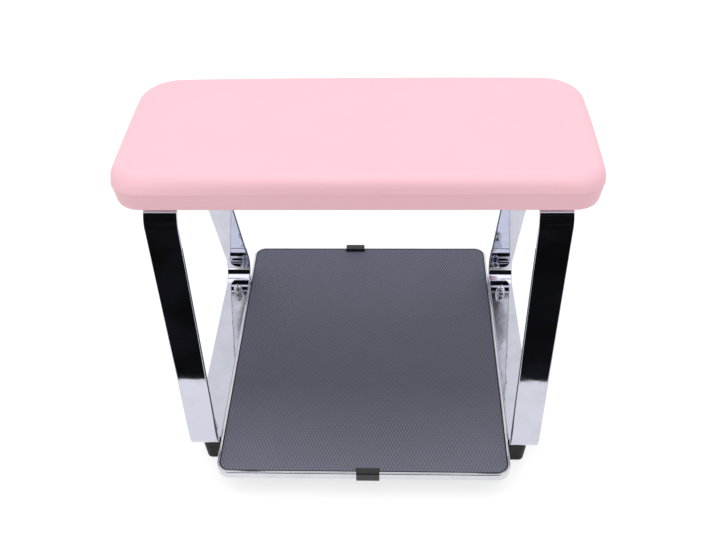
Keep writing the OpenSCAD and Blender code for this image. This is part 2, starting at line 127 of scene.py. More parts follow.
# The neck's radius as a share of the hexagon's width, the chamfered corners' share, and how each nut is turned
NUT_NECK = 0.475
NUT_CHAMFER = 0.93
NUT_TURNS = (0.2, 0.75, 0.4, 0.05)

# The foot pad's skin: a band that tapers downwards, a fold, a wall, a shoulder and a crowned top
CROWN = 0.5 * MM
PAD_H = pad_size.z - CROWN
PAD_FRONT_R = 25 * MM
PAD_REAR_R = 35 * MM
PAD_LEAST_R = 12 * MM
SHOULDER_W = 9 * MM
SHOULDER_H = 10 * MM
UNDER_R = 4 * MM
BAND_SET = 2.2 * MM
BAND_TOP_SET = 0.5 * MM
FOLD_Z = 17.6 * MM
FOLD_W = 1.6 * MM
FOLD_DEPTH = 0.3 * MM
FOLD_RISE = 1.2 * MM
# How the fold wanders in and out, and up and down: (turns of phase per metre, phase, share)
WANDER = 0.1 * MM
WANDER_WAVES = ((61, 0, 1), (137, 1, 1), (290, 2, 0.7))
RIPPLE = 0.2 * MM
RIPPLE_WAVES = ((29, 0, 1), (83, 1, 1))
FRONT_LEAN = 6 * MM
LEAST_LEAN = 0.3
SIDE_LEAN = 1.2 * MM
BACK_LEAN = 0.9 * MM
END_DROP = 0.8 * MM
SIDE_BOW = 1.3 * MM
BACK_BOW = 2.2 * MM
SIDE_SHIFT = -0.5 * MM
SIDE_DEPTH = 4 * SHOULDER_W
VOXEL = 4 * MM
PRESSURE = 4.0
CLOTH_FRAMES = 20
SMOOTHING_ROUNDS = 12
CORNER_STEPS = 8
LONG_STEPS = 72
SHORT_STEPS = 24

# The photograph's camera and the room that the chrome mirrors
CAMERA_AT = Vector((0.0303, -0.7735, 0.815))
CAMERA_PITCH, CAMERA_YAW, CAMERA_ROLL = 40.29, -2.81, 1.70
FOCAL_PX = 914.19
IMAGE_W = 716
SENSOR_W = 36
WORLD_LEVEL = 0.50
SUN_LEVEL = 0.57 * math.pi
SUN_ANGLE = 70
SUN_DIRECTION = (0.06, 0.05, -1)
FLOOR_HALF = 5
FLOOR_MATT = 0.88
FLOOR_SHADE = 0.4
FLOOR_GLOW = 0.73
ROOM_HALF = 3
ROOM_FLOOR_Z = 2 * MM
ROOM_TOP = 0.95
ROOM_Y = -0.8485
TABLE_EDGE_Y = -0.285
BOX_LEVEL = 1.6
SCREEN_TINT = (1, 0.98, 0.89, 1)
BOX_Z = 1.5
BOX_HALF = 0.7
SCREEN_INNER = FRAME_W / 2 + 1.5 * MM
SCREEN_OUTER = 0.6
# Where each screen brightens from its inner edge: start, width, and how much the start shifts with y
LEFT_EDGE = (0.2069, 0.0108, 0.12)
RIGHT_EDGE = (0.199, 0.022, 0.08)
DIM_LEVELS = (0.1, 0.9)
DIM_Y = (-0.50, -0.15)
# The screens and the visor from (y, z) to (y, z)
LOW_SCREEN = ((-0.5385, 0), (-0.25, 0.105))
FAR_SCREEN = ((-0.80, 0), (-0.80, 0.20))
VISOR = ((-0.80, 0.20), (-0.25, 0.277))


def new_material(name):
    material = bpy.data.materials.new(name)
    material.use_nodes = True
    tree = material.node_tree
    return material, tree, tree.nodes["Principled BSDF"]


def node(tree, kind, **values):
    made = tree.nodes.new(kind)
    for key, value in values.items():
        if key in made.inputs:
            made.inputs[key].default_value = value
        else:
            setattr(made, key, value)
    return made


def coordinates(tree):
    """The object's own coordinates, which are the row frame's on every piece."""
    found = tree.nodes.get("Object coordinates")
    return (found or node(tree, "ShaderNodeTexCoord", name="Object coordinates")).outputs["Object"]


def axis(tree, letter):
    found = tree.nodes.get("Split")
    if not found:
        found = node(tree, "ShaderNodeSeparateXYZ", name="Split")
        tree.links.new(coordinates(tree), found.inputs[0])
    return found.outputs[letter]


def noise(tree, scale, detail=3.0, roughness=0.5):
    made = node(tree, "ShaderNodeTexNoise", Scale=scale, Detail=detail, Roughness=roughness)
    tree.links.new(coordinates(tree), made.inputs["Vector"])
    return made.outputs["Fac"]


def spread(tree, value, low, high, start=0.3, end=0.7):
    made = node(tree, "ShaderNodeMapRange")
    made.inputs["From Min"].default_value = start
    made.inputs["From Max"].default_value = end
    made.inputs["To Min"].default_value = low
    made.inputs["To Max"].default_value = high
    tree.links.new(value, made.inputs["Value"])
    return made.outputs["Result"]


def ramp(tree, value, stops):
    made = node(tree, "ShaderNodeValToRGB")
    elements = made.color_ramp.elements
    while len(elements) < len(stops):
        elements.new(0.5)
    for element, (place_at, colour) in zip(elements, stops):
        element.position = place_at
        element.color = (*colour, 1)
    tree.links.new(value, made.inputs["Fac"])
    return made.outputs["Color"]


def blend_colours(tree, factor, below, above):
    """below where the factor is 0, above where it is 1; each is a colour or a socket."""
    made = node(tree, "ShaderNodeMix", data_type="RGBA")
    tree.links.new(factor, made.inputs["Factor"])
    for socket, colour in ((made.inputs["A"], below), (made.inputs["B"], above)):
        if isinstance(colour, tuple):
            socket.default_value = (*colour, 1)
        else:
            tree.links.new(colour, socket)
    return made.outputs["Result"]


def math_node(tree, operation, a, b=None):
    made = node(tree, "ShaderNodeMath", operation=operation)
    for socket, value in zip(made.inputs, (a, b)):
        if isinstance(value, (int, float)):
            socket.default_value = value
        elif value is not None:
            tree.links.new(value, socket)
    return made.outputs[0]


def wave(tree, letter, pitch):
    """A cosine along one axis, with crests a pitch apart."""
    return math_node(tree, "COSINE", math_node(tree, "MULTIPLY", axis(tree, letter), 2 * math.pi / pitch))


def bump(tree, shader, height, distance, before=None):
    made = node(tree, "ShaderNodeBump", Distance=distance)
    tree.links.new(height, made.inputs["Height"])
    if before is not None:
        tree.links.new(before.outputs["Normal"], made.inputs["Normal"])
    tree.links.new(made.outputs["Normal"], shader.inputs["Normal"])
    return made


def metal(name, dark, light, rough, waviness, stain=None):
    """Plated or polished metal: a faint film of grease and wear, and a plating that waves a little."""
    material, tree, shader = new_material(name)
    shader.inputs["Metallic"].default_value = 1
    colour = ramp(tree, noise(tree, 28, 6, 0.62), [(0.32, dark), (0.56, light)])
    if stain:
        spots = spread(tree, noise(tree, 45, 4, 0.6), 0, 0.35, 0.60, 0.80)
        colour = blend_colours(tree, spots, colour, stain)
    tree.links.new(colour, shader.inputs["Base Color"])
    tree.links.new(spread(tree, noise(tree, 60, 5, 0.6), rough[0], rough[1]), shader.inputs["Roughness"])
    first = bump(tree, shader, noise(tree, 38, 2), waviness)
    bump(tree, shader, noise(tree, 900, 2), waviness * 0.02, before=first)
    return material


def plastic(name, dark, light, rough, grain_scale, grain, gloss=0.5):
    """Moulded plastic or rubber with a fine spark-eroded grain."""
    material, tree, shader = new_material(name)
    shader.inputs["Specular IOR Level"].default_value = gloss
    tree.links.new(ramp(tree, noise(tree, 90, 4), [(0.3, dark), (0.7, light)]), shader.inputs["Base Color"])
    tree.links.new(spread(tree, noise(tree, 240, 3), rough[0], rough[1]), shader.inputs["Roughness"])
    bump(tree, shader, noise(tree, grain_scale, 2, 0.7), grain)
    return material


def mat_material():
    """Rubber sheet with rows of small raised grains, each row shifted by half a pitch, with a painted sheen on
    the grains' tops and painted light that makes it lighter in front.
    """
    material, tree, shader = new_material("mat_rubber")
    across, along = wave(tree, "X", GRAIN_PITCH), wave(tree, "Y", 2 * GRAIN_ROW)
    grain = spread(tree, math_node(tree, "MULTIPLY", across, along), 0, 1, -0.15, 0.75)
    # Painted light: the mat's colour gets lighter towards its front edge, standing in for the light that falls
    # there from the front
    painted_front_light = spread(tree, axis(tree, "Y"), 1, 0, -DECK_D / 2, -DECK_D / 6)
    low = ramp(tree, noise(tree, 9, 3), [(0.3, (0.064, 0.069, 0.102)), (0.7, (0.077, 0.083, 0.121))])
    low = blend_colours(tree, painted_front_light, low, (0.138, 0.143, 0.192))
    # Painted sheen: the grains' tops are coloured lighter than the hollows between them, and more so towards
    # the front
    top = blend_colours(tree, painted_front_light, (0.108, 0.113, 0.157), (0.225, 0.233, 0.296))
    tree.links.new(blend_colours(tree, grain, low, top), shader.inputs["Base Color"])
    tree.links.new(spread(tree, grain, 0.62, 0.46, 0, 1), shader.inputs["Roughness"])
    first = bump(tree, shader, grain, 0.25 * MM)
    bump(tree, shader, noise(tree, 1400, 2), 0.03 * MM, before=first)
    return material


def leather_material():
    """Pink leatherette: fine pebble grain over a skin that the foam under it dimples softly."""
    material, tree, shader = new_material("pink_leatherette")
    cells = node(tree, "ShaderNodeTexVoronoi", feature="DISTANCE_TO_EDGE", Scale=780)
    tree.links.new(coordinates(tree), cells.inputs["Vector"])
    pebble = spread(tree, cells.outputs["Distance"], 0, 1, 0.0, 0.22)
    tone = ramp(tree, noise(tree, 14, 3), [(0.3, (0.995, 0.577, 0.648)), (0.7, (0.995, 0.595, 0.666))])
    tree.links.new(tone, shader.inputs["Base Color"])
    tree.links.new(spread(tree, noise(tree, 320, 3), 0.44, 0.56), shader.inputs["Roughness"])
    shader.inputs["Sheen Weight"].default_value = 0.04
    shader.inputs["Sheen Roughness"].default_value = 0.4
    first = bump(tree, shader, noise(tree, 42, 2), 0.35 * MM)
    second = bump(tree, shader, noise(tree, 160, 2), 0.05 * MM, before=first)
    bump(tree, shader, pebble, 0.035 * MM, before=second)
    return material


def wood_material(name, dark, light):
    material, tree, shader = new_material(name)
    stretch = node(tree, "ShaderNodeMapping", Scale=(6, 90, 90))
    tree.links.new(coordinates(tree), stretch.inputs["Vector"])
    rings = node(tree, "ShaderNodeTexNoise", Scale=3, Detail=6)
    tree.links.new(stretch.outputs["Vector"], rings.inputs["Vector"])
    tree.links.new(ramp(tree, rings.outputs["Fac"], [(0.3, dark), (0.7, light)]), shader.inputs["Base Color"])
    shader.inputs["Roughness"].default_value = 0.62
    bump(tree, shader, rings.outputs["Fac"], 0.06 * MM)
    return material


def cloth_material():
    """Black non-woven dust cloth with its grid of bonded points."""
    material, tree, shader = new_material("dust_cloth")
    points = math_node(tree, "MULTIPLY", wave(tree, "X", 1.6 * MM), wave(tree, "Y", 1.6 * MM))
    points = spread(tree, points, 0, 1, 0.2, 0.7)
    colour = ramp(tree, points, [(0, (0.020, 0.020, 0.022)), (1, (0.010, 0.010, 0.011))])
    tree.links.new(colour, shader.inputs["Base Color"])
    shader.inputs["Roughness"].default_value = 0.88
    first = bump(tree, shader, points, 0.08 * MM)
    bump(tree, shader, noise(tree, 1100, 4, 0.7), 0.06 * MM, before=first)
    return material


def mesh_object(name, points, faces, normals=None):
    data = bpy.data.meshes.new(name)
    data.from_pydata([tuple(p) for p in points], [], faces)
    data.polygons.foreach_set("use_smooth", [True] * len(data.polygons))
    data.update()
    if normals is not None:
        data.normals_split_custom_set_from_vertices([tuple(n) for n in normals])
    made = bpy.data.objects.new(name, data)
    bpy.context.scene.collection.objects.link(made)
    return made


def fix_normals(made):
    mesh = bmesh.new()
    mesh.from_mesh(made.data)
    bmesh.ops.recalc_face_normals(mesh, faces=mesh.faces)
    mesh.to_mesh(made.data)
    mesh.free()


def soften(made, angle=35, edge=0.0, segments=3):
    """Rounds the edges of a piece built with sharp ones and keeps its flats flat under the light."""
    made.data.set_sharp_from_angle(angle=math.radians(angle))
    if edge:
        bevel = made.modifiers.new("Rounded edges", "BEVEL")
        bevel.width = edge
        bevel.segments = segments
        bevel.limit_method = "ANGLE"
        bevel.angle_limit = math.radians(angle)
        bevel.harden_normals = False
    flat = made.modifiers.new("Flat faces", "WEIGHTED_NORMAL")
    flat.keep_sharp = True
    return made


def arc(x, y, r, start, end, steps):
    """Points of an arc with their outward normals."""
    angles = [math.radians(start + (end - start) * i / steps) for i in range(steps + 1)]
    return [(x + r * math.cos(a), y + r * math.sin(a), math.cos(a), math.sin(a)) for a in angles]


def plain(points):
    """Arc points without their normals."""
    return [point[:2] for point in points]


def ring_faces(rings, count, closed=False):
    """Quads between rings of count points each."""
    faces = []
    for k in range(rings if closed else rings - 1):
        near, far = k * count, (k + 1) % rings * count
        for i in range(count):
            j = (i + 1) % count
            faces.append((near + i, near + j, far + j, far + i))
    return faces


def capped(rings, count):
    """Quads between the rings, and a face at each end."""
    last = rings * count
    return ring_faces(rings, count) + [tuple(reversed(range(count))), tuple(range(last - count, last))]


def place(made, material, slot, *stands_for):
    made.data.materials.clear()
    made.data.materials.append(material)
    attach(made, "root")
    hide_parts(*stands_for)
    return made


def bar_section():
    """The flat bar's rounded section: (across, through, and the outward normal in both)."""
    r, w, t = BAR_EDGE_R, BAR_W, BAR_T
    corners = ((w - r, t - r), (r, t - r), (r, r), (w - r, r))
    return [p for q, (x, y) in enumerate(corners) for p in arc(x, y, r, 90 * q, 90 * q + 90, 6)]


def frame_bends():
    """The side frame's line seen from +X: each bend's centre, and its first and last angle."""
    out, lean = BEND_OUT, math.degrees(REAR_LEAN)
    return [
        (out, out, 180, 270),
        (BASE_D - out * math.tan(REAR_TURN / 2), out, 270, 360 + lean),
        (HEAD_D - out * math.tan(HEAD_TURN / 2), FRAME_H - out, lean, 90),
        (out, FRAME_H - out, 90, 180),
    ]


def frame_bar(name, side):
    """One side frame: the bar's section swept round its bends, with true normals for clean reflections."""
    points, normals = [], []
    section = bar_section()
    stations = [(x, y, c, s) for x, y, a, b in frame_bends() for _, _, c, s in arc(x, y, 1, a, b, BEND_STEPS)]
    for x, y, c, s in stations:
        for px, pt, nx, nt in section:
            r = BEND_R + pt
            points.append((side * (FRAME_W / 2 - px), LEG_Y + x + r * c, BASE_Z + y + r * s))
            normals.append((-side * nx, nt * c, nt * s))
    faces = ring_faces(len(stations), len(section), closed=True)
    if side > 0:
        faces = [face[::-1] for face in faces]
    return mesh_object(name, points, faces, normals)


def trim_section():
    """The trim's section: (how far inside the deck's edge, height over the trim's foot)."""
    r, h = TRIM_EDGE_R, TRIM_H
    lip_z = h - TRIM_T
    lower_lip = [(LIP_UNDER, 0), (LIP_UNDER, TRIM_T), (TRIM_T, TRIM_T)]
    upper_lip = [(TRIM_T, lip_z), (LIP_TOP, lip_z), (LIP_TOP, h)]
    return plain(arc(r, r, r, 180, 270, 6)) + lower_lip + upper_lip + plain(arc(r, h - r, r, 90, 180, 6))


def deck_edge(start, finish):
    """Points and inward directions along the deck's edge from the front joint round +X to the rear joint."""
    x, y, r = DECK_W / 2 - DECK_CORNER_R, DECK_D / 2 - DECK_CORNER_R, DECK_CORNER_R
    corners = arc(x, -y, r, -90, 0, 20) + arc(x, y, r, 0, 90, 20)
    line = [(start, -DECK_D / 2, 0, -1)] + corners + [(finish, DECK_D / 2, 0, 1)]
    return [((px, py), (-nx, -ny)) for px, py, nx, ny in line]


def edge_trim(name, start, finish, turn):
    points = []
    line = deck_edge(start, finish)
    section = trim_section()
    for (px, py), (nx, ny) in line:
        points += [(turn * (px + nx * sx), turn * (py + ny * sx), BASE_Z + sz) for sx, sz in section]
    made = mesh_object(name, points, [face[::-1] for face in capped(len(line), len(section))])
    fix_normals(made)
    return soften(made, 30)


def trim_ends():
    """Where the two trims end: right front, right rear, left front, left rear."""
    front, rear = middle("clip_front").x, middle("clip_rear").x
    half_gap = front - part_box("edge_trim_left")[1].x
    return front + half_gap, rear + half_gap, front - half_gap, rear - half_gap


def clip_section(top_t, reach):
    """A hook round the deck's edge: (how far inside the edge, height over the trim's foot)."""
    r, t, h = CLIP_CORNER_R, CLIP_T, TRIM_H
    lip_z = h - TRIM_T
    hook = [(LIP_UNDER, -t), (LIP_UNDER, 0), (0, 0), (0, h), (LIP_TOP, h), (LIP_TOP, lip_z), (reach, lip_z)]
    lower = plain(arc(r - t, r - t, r, 180, 270, 6))
    upper = plain(arc(reach - r, h + top_t - r, r, 0, 90, 6) + arc(r - t, h + top_t - r, r, 90, 180, 6))
    return lower + hook + upper


def clip(name, source, turn, top_t, reach):
    low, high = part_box(source)
    section = clip_section(top_t, reach)
    points = [(x, turn * (DECK_D / 2 - sx), BASE_Z + sz) for x in (low.x, high.x) for sx, sz in section]
    made = mesh_object(name, points, capped(2, len(section)))
    fix_normals(made)
    return soften(made, 50, CLIP_EDGE_R)


def plate_outline(half_w, half_d, r, steps=12):
    corners = ((1, 1), (-1, 1), (-1, -1), (1, -1))
    return [
        point
        for q, (sx, sy) in enumerate(corners)
        for point in plain(arc(sx * (half_w - r), sy * (half_d - r), r, 90 * q, 90 * q + 90, steps))
    ]


def notched(outline, half_d, notches):
    """The mat's outline with a notch for each clip in its front and rear edge."""
    made = []
    for (x, y), (nx, ny) in zip(outline, outline[1:] + outline[:1]):
        made.append((x, y))
        for low, high, side, depth in notches:
            if y == ny and y * side > 0 and min(x, nx) < low and high < max(x, nx):
                first, last = (high, low) if x > nx else (low, high)
                edge = side * half_d
                inner = edge - side * depth
                made += [(first, edge), (first, inner), (last, inner), (last, edge)]
    return made


def deck_mat(name):
    half_w, half_d = mat_high.x, mat_high.y
    notches = []
    for source, side, reach in (("clip_front", -1, CLIP_REACH), ("clip_rear", 1, REAR_CLIP_REACH)):
        low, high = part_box(source)
        depth = half_d - (DECK_D / 2 - reach - CLIP_PLAY)
        notches.append((low.x - CLIP_PLAY, high.x + CLIP_PLAY, side, depth))
    outline = notched(plate_outline(half_w, half_d, DECK_CORNER_R - LIP_TOP - MAT_GROOVE), half_d, notches)
    points = [(x, y, z) for z in (mat_low.z, mat_high.z) for x, y in outline]
    return soften(mesh_object(name, points, capped(2, len(outline))), 35, MAT_EDGE_R)


def lathe(rings, steps=48):
    """Points and faces of a form turned about its axis from (radius, height) rings; radius 0 closes it."""
    points, faces, before = [], [], None
    turns = [2 * math.pi * i / steps for i in range(steps)]
    for r, z in rings:
        start = len(points)
        if r == 0:
            points.append((0, 0, z))
            now = [start] * steps
        else:
            points += [(r * math.cos(a), r * math.sin(a), z) for a in turns]
            now = list(range(start, start + steps))
        if before:
            for i in range(steps):
                j = (i + 1) % steps
                faces.append(tuple(dict.fromkeys((before[i], before[j], now[j], now[i]))))
        before = now
    return points, faces


def joined(name, parts):
    points, faces = [], []
    for part_points, part_faces in parts:
        start = len(points)
        points += part_points
        faces += [tuple(i + start for i in face) for face in part_faces]
    return mesh_object(name, points, faces)


def hexagon(corner, z, turn):
    angles = [math.radians(60 * i) + turn for i in range(6)]
    return [(corner * math.cos(a), corner * math.sin(a), z) for a in angles]


def dome_nut(x, y, turn):
    """A hexagon with turned chamfers, a neck and a dome."""
    neck = NUT_AF * NUT_NECK
    corner = NUT_AF / math.sqrt(3)
    chamfer = (corner - NUT_AF / 2) / 2
    levels = ((NUT_CHAMFER, 0), (1, chamfer), (1, NUT_HEX_H - chamfer), (NUT_CHAMFER, NUT_HEX_H))
    hex_points = [point for share, z in levels for point in hexagon(corner * share, z, turn)]
    dome_z = nut_size.z - neck
    rings = [(neck, NUT_HEX_H - NUT_EDGE_R), (neck, dome_z)]
    rings += [(px, pz) for px, pz in plain(arc(0, dome_z, neck, 9, 81, 8))]
    rings.append((0, nut_size.z))
    parts = [(hex_points, capped(len(levels), 6)), lathe(rings)]
    return [([(x + px, y + py, nut_low.z + pz) for px, py, pz in points], faces) for points, faces in parts]


def dome_nuts(name):
    turns = iter(NUT_TURNS)
    parts = []
    for x in (-BOLT_X, BOLT_X):
        for y in (FRONT_BOLT_Y, REAR_BOLT_Y):
            parts += dome_nut(x, y, next(turns))
    return soften(joined(name, parts), 28, NUT_EDGE_R, 2)


def pad_profile():
    """The pad's skin in section, from underside to top: (how far inside the outline, height)."""
    band_top = FOLD_Z - FOLD_W * 0.4
    wall_top = PAD_H - SHOULDER_H
    under = plain(arc(BAND_SET + UNDER_R, UNDER_R, -UNDER_R, 90, 0, 4))
    taper, rise = BAND_TOP_SET - BAND_SET, band_top - UNDER_R
    band = [(BAND_SET + taper * t, UNDER_R + rise * t) for t in (0.25, 0.5, 0.75, 1)]
    fold = [
        (BAND_TOP_SET + FOLD_DEPTH, FOLD_Z),
        (BAND_TOP_SET, FOLD_Z + FOLD_W * 0.25),
        (BAND_TOP_SET * 0.2, FOLD_Z + FOLD_W * 0.6),
        (0, FOLD_Z + FOLD_W),
    ]
    wall = [(0, (FOLD_Z + FOLD_W + wall_top) / 2)]
    turns = [math.radians(90 * i / 9) for i in range(10)]
    shoulder = [(SHOULDER_W * (1 - math.cos(a)), wall_top + SHOULDER_H * math.sin(a)) for a in turns]
    return under + band + fold + wall + shoulder


def pad_ring(inset, z):
    """One closed line of the pad's skin, from the right side's rear end round by back, left and front."""
    points = []
    steps = (LONG_STEPS, SHORT_STEPS, LONG_STEPS, SHORT_STEPS)
    corners = []
    for q, (sx, sy) in enumerate(((1, 1), (-1, 1), (-1, -1), (1, -1))):
        r = max((PAD_REAR_R if sy > 0 else PAD_FRONT_R) - inset, PAD_LEAST_R)
        r = min(r, PAD_D / 2 - inset)
        x, y = sx * (PAD_W / 2 - inset - r), sy * (PAD_D / 2 - inset - r)
        corners.append(plain(arc(x, y, r, 90 * q, 90 * q + 90, CORNER_STEPS)))
    for corner, after, count in zip(corners, corners[1:] + corners[:1], steps):
        (x, y), (nx, ny) = corner[-1], after[0]
        points += corner + [(x + (nx - x) * i / count, y + (ny - y) * i / count) for i in range(1, count)]
    return [(px, PAD_Y + py, PAD_Z + z) for px, py in points]


def closing(start, count):
    """Faces that close a pad ring across its short way, seen from above."""
    turn = 2 * CORNER_STEPS + LONG_STEPS
    across = [start + (count - SHORT_STEPS - i) % count for i in range(turn + 1)]
    right = tuple(start + i % count for i in range(count - SHORT_STEPS - 1, count + 2))
    left = tuple(start + i for i in range(turn - 1, turn + SHORT_STEPS + 2))
    strips = [(start + i, start + i + 1, across[i + 1], across[i]) for i in range(1, turn - 1)]
    return [right, left] + strips


def pad_shape(crown):
    """Points and faces of the pad as a closed skin, with a top that rises by crown."""
    half = PAD_D / 2
    under = [(half * share, 0) for share in (0.8, 0.5, 0.2)]
    shares = (0.14, 0.2, 0.3, 0.39, 0.5, 0.62, 0.76, 0.9)
    rises = (0.15, 0.33, 0.55, 0.74, 0.87, 0.95, 0.99, 1)
    top = [(half * share, PAD_H + crown * up) for share, up in zip(shares, rises)]
    rings = under + pad_profile() + top
    points = [point for inset, z in rings for point in pad_ring(inset, z)]
    count = len(points) // len(rings)
    faces = [face[::-1] for face in closing(0, count)] + ring_faces(len(rings), count)
    return points, faces + closing(len(points) - count, count)


def apply_modifiers(made):
    graph = bpy.context.evaluated_depsgraph_get()
    data = bpy.data.meshes.new_from_object(made.evaluated_get(graph))
    made.modifiers.clear()
    made.data = data


def smoothed(data, values, rounds):
    """Values of the vertices, averaged over each vertex's neighbours a number of times."""
    edges = np.zeros(len(data.edges) * 2, int)
    data.edges.foreach_get("vertices", edges)
    a, b = edges[0::2], edges[1::2]
    count = np.bincount(edges, minlength=len(values))
    for _ in range(rounds):
        total = np.bincount(a, values[b], len(values)) + np.bincount(b, values[a], len(values))
        values = 0.5 * values + 0.5 * total / np.maximum(count, 1)
    return values


def cloth_swell(points, faces, voxel, pressure, frames, limit):
    """How far cloth pressure swells the cover, on an evenly remeshed copy whose underside the board holds.
    The foam holds the cover back, so the whole swell is scaled to the limit."""
    made = mesh_object("Cover under pressure", points, faces)
    remesh = made.modifiers.new("Remesh", "REMESH")
    remesh.mode = "VOXEL"
    remesh.voxel_size = voxel
    apply_modifiers(made)
    start = np.array([v.co for v in made.data.vertices])
    outward = np.array([v.normal for v in made.data.vertices])
    held = made.vertex_groups.new(name="held")
    held.add([int(i) for i in np.where(start[:, 2] < PAD_Z + 2 * UNDER_R)[0]], 1.0, "REPLACE")
    cloth = made.modifiers.new("Cloth", "CLOTH")
    settings = cloth.settings
    settings.quality = 6
    settings.mass = 0.3
    settings.use_pressure = True
    settings.uniform_pressure_force = pressure
    settings.tension_stiffness = 30
    settings.compression_stiffness = 30
    settings.shear_stiffness = 10
    settings.bending_stiffness = 4
    settings.vertex_group_mass = "held"
    settings.effector_weights.gravity = 0
    cloth.collision_settings.use_collision = False
    cloth.point_cache.frame_start, cloth.point_cache.frame_end = 1, frames
    for step in range(1, frames + 1):
        bpy.context.scene.frame_set(step)
    graph = bpy.context.evaluated_depsgraph_get()
    moved = np.array([v.co for v in made.evaluated_get(graph).data.vertices])
    swell = np.clip(((moved - start) * outward).sum(1), 0, None)
    swell = smoothed(made.data, swell * limit / swell.max(), SMOOTHING_ROUNDS)
    bpy.context.scene.frame_set(1)
    bpy.data.objects.remove(made)
    return start, swell


def near_average(places, values, wanted, neighbours=6):
    """Values at the wanted points, averaged over the nearest places that have one."""
    tree = KDTree(len(places))
    for i, point in enumerate(places):
        tree.insert(point, i)
    tree.balance()
    return np.array([np.mean([values[i] for _, i, _ in tree.find_n(point, neighbours)]) for point in wanted])


def inside_outline(co):
    """How far each point lies inside the pad's outline in plan, and the inward direction there."""
    x, y = co[:, 0], co[:, 1] - PAD_Y
    r = np.where(y > 0, PAD_REAR_R, PAD_FRONT_R)
    qx, qy = np.abs(x) - (PAD_W / 2 - r), np.abs(y) - (PAD_D / 2 - r)
    corner = (qx > 0) & (qy > 0)
    out = np.hypot(np.maximum(qx, 0), np.maximum(qy, 0))
    depth = r - np.where(corner, out, np.maximum(qx, qy))
    nx = np.where(corner, qx / np.maximum(out, 1e-9), (qx >= qy).astype(float))
    ny = np.where(corner, qy / np.maximum(out, 1e-9), (qx < qy).astype(float))
    return depth, np.stack([-np.sign(x) * nx, -np.sign(y) * ny], axis=1)


def waves(run, terms):
    return sum(share * np.sin(run * rate + phase) for rate, phase, share in terms)


def shape_cover(co):
    """Bows the pad's sides and back, leans its walls, lowers its ends, and lets the fold wander."""
    depth, inward = inside_outline(co)
    z = co[:, 2] - PAD_Z
    across, along = co[:, 0] / (PAD_W / 2), (co[:, 1] - PAD_Y) / (PAD_D / 2)
    side = np.clip(1 - depth / SIDE_DEPTH, 0, 1)
    high = np.clip(z / FOLD_Z, 0, 1)
    above = np.clip((z - FOLD_Z - FOLD_W) / (PAD_H - FOLD_Z - FOLD_W), 0, 1)
    aside, ahead, behind = np.abs(inward[:, 0]), np.clip(inward[:, 1], 0, 1), np.clip(-inward[:, 1], 0, 1)
    bow = SIDE_BOW * aside * np.clip(1 - along ** 2, 0, 1)
    bow += BACK_BOW * behind * np.clip(1 - across ** 2, 0, 1)
    lean = SIDE_LEAN * aside + BACK_LEAN * behind
    # The front wall leans in most at its ends, and more so at the left one
    lean += FRONT_LEAN * ahead * (LEAST_LEAN + across ** 2 * (1 - across / 3))
    run = co[:, 0] + 0.7 * co[:, 1]
    middle_band = high * np.clip((PAD_H - z) / (PAD_H - FOLD_Z), 0, 1) * side
    wander = WANDER * waves(run, WANDER_WAVES)
    co[:, :2] += inward * (side * (lean * above - bow * high) + middle_band * wander)[:, None]
    co[:, 0] += SIDE_SHIFT
    co[:, 2] += middle_band * (FOLD_RISE * across / 2 + RIPPLE * waves(run, RIPPLE_WAVES))
    co[:, 2] -= END_DROP * above * across ** 4
    return co


def foot_pad(name):
    """The pad's cover: its skin is swelled by cloth pressure, then shaped and smoothed."""
    points, faces = pad_shape(0)
    made = mesh_object(name, points, faces)
    co = np.array(points)
    outward = np.array([v.normal for v in made.data.vertices])
    places, swell = cloth_swell(points, faces, VOXEL, PRESSURE, CLOTH_FRAMES, CROWN)
    co += outward * near_average(places, swell, points)[:, None]
    made.data.vertices.foreach_set("co", shape_cover(co).ravel())
    made.data.update()
    made.modifiers.new("Smooth surface", "SUBSURF").levels = 1
    made.modifiers["Smooth surface"].render_levels = 1
    apply_modifiers(made)
    made.data.polygons.foreach_set("use_smooth", [True] * len(made.data.polygons))
    return made


def camera():
    data = bpy.data.cameras.new("Photo view")
    data.sensor_width = SENSOR_W
    data.lens = FOCAL_PX / IMAGE_W * SENSOR_W
    data.clip_start = 10 * MM
    made = bpy.data.objects.new("Photo view", data)
    bpy.context.scene.collection.objects.link(made)
    pitch, yaw, roll = (math.radians(a) for a in (CAMERA_PITCH, CAMERA_YAW, CAMERA_ROLL))
    forward = Vector((math.sin(yaw) * math.cos(pitch), math.cos(yaw) * math.cos(pitch), -math.sin(pitch)))
    right = Vector((math.cos(yaw), -math.sin(yaw), 0))
    down = forward.cross(right)
    level = right * math.cos(roll) + down * math.sin(roll)
    drop = down * math.cos(roll) - right * math.sin(roll)
    turn = Matrix((level, -drop, -forward)).transposed()
    made.matrix_world = Matrix.Translation(CAMERA_AT) @ turn.to_4x4()
    bpy.context.scene.camera = made


def bare_material(name):
    material = bpy.data.materials.new(name)
    material.use_nodes = True
    material.node_tree.nodes.clear()
    return material, material.node_tree


def light_path_mix(tree, seen, other):
    """seen for what the camera, reflections and glass see, other for the light itself."""
    path = node(tree, "ShaderNodeLightPath")
    either = math_node(tree, "MAXIMUM", path.outputs["Is Camera Ray"], path.outputs["Is Glossy Ray"])
    either = math_node(tree, "MAXIMUM", either, path.outputs["Is Transmission Ray"])
    return mix_shaders(tree, either, other, seen)


def mix_shaders(tree, factor, below, above):
    mix = node(tree, "ShaderNodeMixShader")
    tree.links.new(factor, mix.inputs[0])
    tree.links.new(below.outputs[0], mix.inputs[1])
    tree.links.new(above.outputs[0], mix.inputs[2])
    return mix


